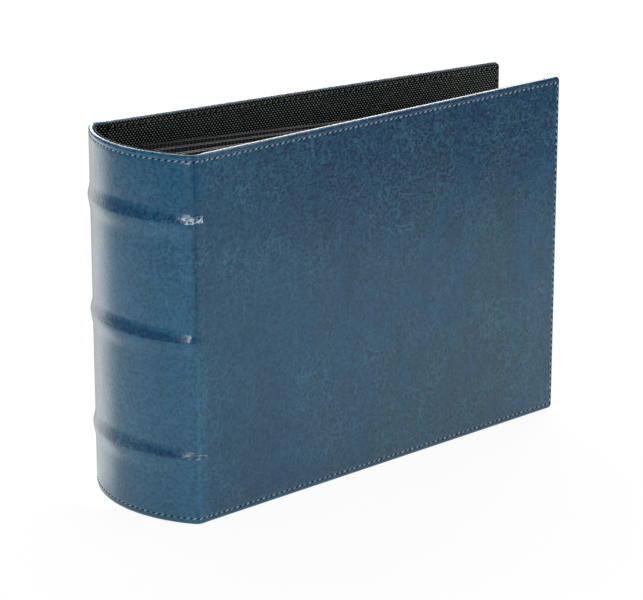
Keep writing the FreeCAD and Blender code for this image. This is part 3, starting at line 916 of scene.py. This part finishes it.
class ALBUM_OT_sewing(bpy.types.Operator):
    """Sews the edges of the covers, the joints and the spine, inside and out"""

    bl_idname = "album.sewing"
    bl_label = "Sewing"

    def execute(self, context):
        blue = [waxed_thread("blue"), pierced_hide("blue")]
        black = [waxed_thread("black"), pierced_hide("black")]
        rows = (STITCH_ROW, HEIGHT - STITCH_ROW)
        fore = COVER_WIDTH - FORE_STITCH_ROW
        gap = sizes().stitch_pitch / 2
        sunk = sizes().seam_dent
        for side, inwards in SIDES.items():
            outer = np.append(-cover_inwards(inwards), 0.0)
            for face, depth, out, materials, slot in (
                ("needle", sunk, outer, blue, "blue_thread"),
                ("bobbin", COVER_DEPTH, -outer, black, "black_thread"),
            ):
                along = np.array([JOINT_WIDTH + gap, fore])
                lines = [upright(cover_plan(inwards, along, depth), height) for height in rows]
                at_fore = np.repeat(cover_plan(inwards, np.array([fore]), depth), 2, axis=0)
                lines.append(np.column_stack([at_fore, rows]))
                runs = [(line, np.broadcast_to(out, line.shape)) for line in lines]
                piece = sewing(f"{side}_{face}_stitches", runs, materials)
                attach(piece, f"{side}_cover")
                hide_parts(f"{side}_{face}_thread")

            along = np.array([sizes().joint_round, JOINT_WIDTH + gap])
            lines = [upright(cover_plan(inwards, along, sunk), height) for height in rows]
            runs = [(line, np.broadcast_to(outer, line.shape)) for line in lines]
            piece = sewing(f"{side}_joint_stitches", runs, blue)
            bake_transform(piece)

        line = spine_line()
        inside = -inward_normals(line)
        for face, depth, sign, materials, slot in (
            ("needle", sunk, -1, blue, "blue_thread"),
            ("bobbin", SPINE_DEPTH + LINING, 1, black, "black_thread"),
        ):
            out = np.column_stack([sign * inside, np.zeros(len(line))])
            runs = [(upright(line + inside * depth, height), out) for height in rows]
            piece = sewing(f"spine_{face}_stitches", runs, materials)
            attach(piece, "spine")
            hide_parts(f"spine_{face}_thread")
        return {"FINISHED"}


class ALBUM_OT_inside(bpy.types.Operator):
    """Finishes the linings, the leaves and their clear strips, and the cloth that binds them"""

    bl_idname = "album.inside"
    bl_label = "Inside"

    def execute(self, context):
        round_off = sizes().corner - COVER_LINING_EDGE
        end = COVER_WIDTH - COVER_LINING_EDGE
        round_corner = end - round_off * (1 - np.sin(CORNER_TURN))
        along = np.append(np.linspace(JOINT_WIDTH, end - round_off, COVER_LINING_STATIONS), round_corner)
        edge = COVER_LINING_EDGE + quarter_drop(end - along, round_off)
        for side, inwards in SIDES.items():
            piece = cloth_strip(f"{side}_cover_cloth", *cover_line(inwards, along), COVER_HIDE, edge)
            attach(piece, f"{side}_cover")
            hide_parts(f"{side}_lining")

        cloth = woven_cloth("book_cloth_black", "#0c0d0e", "#24282a", 0.6)
        cord = woven_cloth("linen_thread", "#7c705c", "#b5a98f", 0.4)
        finishes = {"spine_lining": dotted_lining("Y"), "binding_cloth": cloth, "guard_threads": cord}
        for name in frame["nodes"]:
            if name.startswith("leaf"):
                finishes[name] = clear_film() if name.endswith("strips") else black_leaf()
            elif name.startswith("guard") and name not in finishes:
                finishes[name] = cloth
            elif name.endswith(("board", "card")):
                finishes[name] = grey_board()
            elif name.startswith("spine_band"):
                finishes[name] = cord
        for name, material in finishes.items():
            dress(name, material)
        return {"FINISHED"}


# Stage


def area_light(name, place, size, power):
    """A soft rectangular light at a place, turned to face the album; size is its width and height."""
    data = bpy.data.lights.new(name, "AREA")
    data.shape = "RECTANGLE"
    data.size, data.size_y = size
    data.energy = power
    lamp = bpy.data.objects.new(name, data)
    lamp.location = place
    lamp.rotation_euler = (Vector((0, 0, HEIGHT / 2)) - Vector(place)).to_track_quat("-Z", "Y").to_euler()
    bpy.context.scene.collection.objects.link(lamp)


class ALBUM_OT_stage(bpy.types.Operator):
    """Sets the camera, the soft lights, the white floor and the white world"""

    bl_idname = "album.stage"
    bl_label = "Stage"

    def execute(self, context):
        scene = context.scene
        scene.view_settings.view_transform = "Standard"

        data = bpy.data.cameras.new("camera")
        data.sensor_width = 36.0
        data.lens = 153.19
        data.clip_start, data.clip_end = 0.05, 50
        camera = bpy.data.objects.new("camera", data)
        camera.location = (-0.8303, -1.0167, 0.4823)
        yaw, pitch = math.radians(39.023), math.radians(-17.065)
        camera.rotation_euler = Euler((math.pi / 2 + pitch, 0, -yaw))
        scene.collection.objects.link(camera)
        scene.camera = camera

        # A white world for the camera and through film, and a dimmer one that lights and is mirrored
        world = bpy.data.worlds.new("white_room")
        scene.world = world
        world.use_nodes = True
        add = functools.partial(node, world.node_tree)
        rays = add("LightPath")
        _, _, up = add("SeparateXYZ", add("TexCoord", output="Generated"))
        mirrored = add("Math", rays["Is Glossy Ray"], add("MapRange", up, 0.0, 0.08, 0.35, 0.08))
        seen = add("Math", rays["Is Camera Ray"], rays["Is Transmission Ray"], operation="MAXIMUM")
        shown = add("Math", seen, mirrored, operation="MAXIMUM")
        strength = add("Math", shown, add("Math", rays["Is Diffuse Ray"], 0.45), operation="MAXIMUM")
        connect(world.node_tree.nodes["Background"], {"Color": (1, 1, 1, 1), "Strength": strength})

        area_light("overhead", (0.45, -0.25, 1.15), (0.8, 0.8), 4)
        area_light("back_low", (0.8, 1.0, 0.62), (1.6, 0.4), 15)
        area_light("back_high", (0.3, 0.7, 1.0), (1.6, 0.2), 9)
        area_light("spine_side", (-1.15, -0.58, 0.28), (0.24, 0.2), 3)
        area_light("cover_side", (0.6, -1.3, 0.7), (1.0, 1.0), 3.6)

        reach, below = 6.0, 0.05 * MM
        corners = [(-reach, -reach, -below), (reach, -reach, -below), (reach, reach, -below), (-reach, reach, -below)]
        floor = new_piece("floor", corners, [[0, 1, 2, 3]], [white_paper()])
        return {"FINISHED"}


class ALBUM_PT_panel(bpy.types.Panel):
    """Lists the album's steps, sizes and colours"""

    bl_idname = "ALBUM_PT_panel"
    bl_label = "Stamp Album"
    bl_space_type = "VIEW_3D"
    bl_region_type = "UI"
    bl_category = "Album"

    def draw(self, context):
        for operator in OPERATORS:
            self.layout.operator(operator.bl_idname)
        for group in (context.scene.album_sizes, context.scene.album_colours):
            column = self.layout.column(align=True)
            for name in group.__annotations__:
                column.prop(group, name)


OPERATORS = (
    ALBUM_OT_stage,
    ALBUM_OT_covers,
    ALBUM_OT_joints,
    ALBUM_OT_spine,
    ALBUM_OT_sewing,
    ALBUM_OT_inside,
)
CLASSES = (AlbumSizes, AlbumColours, *OPERATORS, ALBUM_PT_panel)


def register():
    """Registers the classes and puts the album's settings on the scene."""
    for item in CLASSES:
        bpy.utils.register_class(item)
    bpy.types.Scene.album_sizes = bpy.props.PointerProperty(type=AlbumSizes)
    bpy.types.Scene.album_colours = bpy.props.PointerProperty(type=AlbumColours)


def unregister():
    """Takes the settings and the classes away again."""
    del bpy.types.Scene.album_colours
    del bpy.types.Scene.album_sizes
    for item in reversed(CLASSES):
        bpy.utils.unregister_class(item)


def main():
    """Builds the album."""
    register()
    bpy.ops.album.stage()
    bpy.ops.album.covers()
    bpy.ops.album.joints()
    bpy.ops.album.spine()
    bpy.ops.album.sewing()
    bpy.ops.album.inside()


if __name__ == "__main__":
    main()
